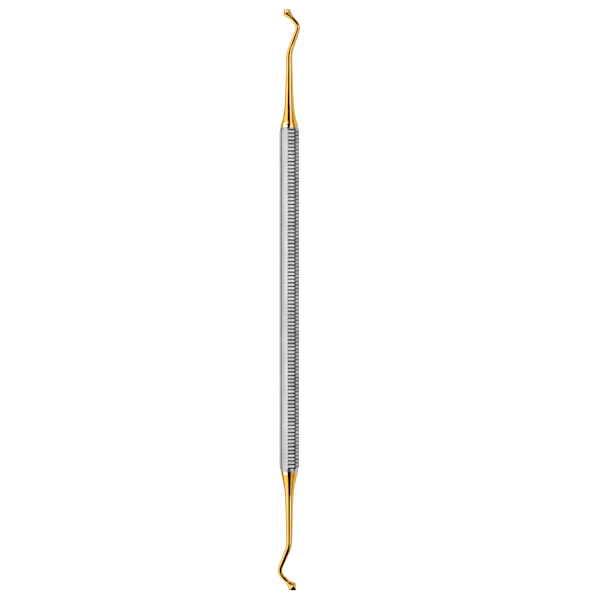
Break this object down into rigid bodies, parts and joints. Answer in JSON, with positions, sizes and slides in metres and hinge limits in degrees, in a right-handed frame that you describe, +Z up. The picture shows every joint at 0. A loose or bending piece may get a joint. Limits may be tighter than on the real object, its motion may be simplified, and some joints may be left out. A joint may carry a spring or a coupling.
{
  "type": "composite burnisher",
  "caption": "Double-ended dental composite burnisher: serrated octagonal steel handle, gold-coated tapered shanks bent out and back, and a flared head with a blunt point at each end.",
  "frame": {"origin": "middle of the lower flat of the octagonal handle, which the instrument rests on", "axes": "+Y along the handle towards the end with the smaller bends, +Z up, square to the flat that it rests on"},
  "size_m": [0.006, 0.1711, 0.0055],
  "materials": {
    "steel": "bright satin handle; the ends have a gold-coloured nitride coating"
  },
  "bodies": {
    "root": {"burnisher": "steel"}
  },
  "joints": []
}
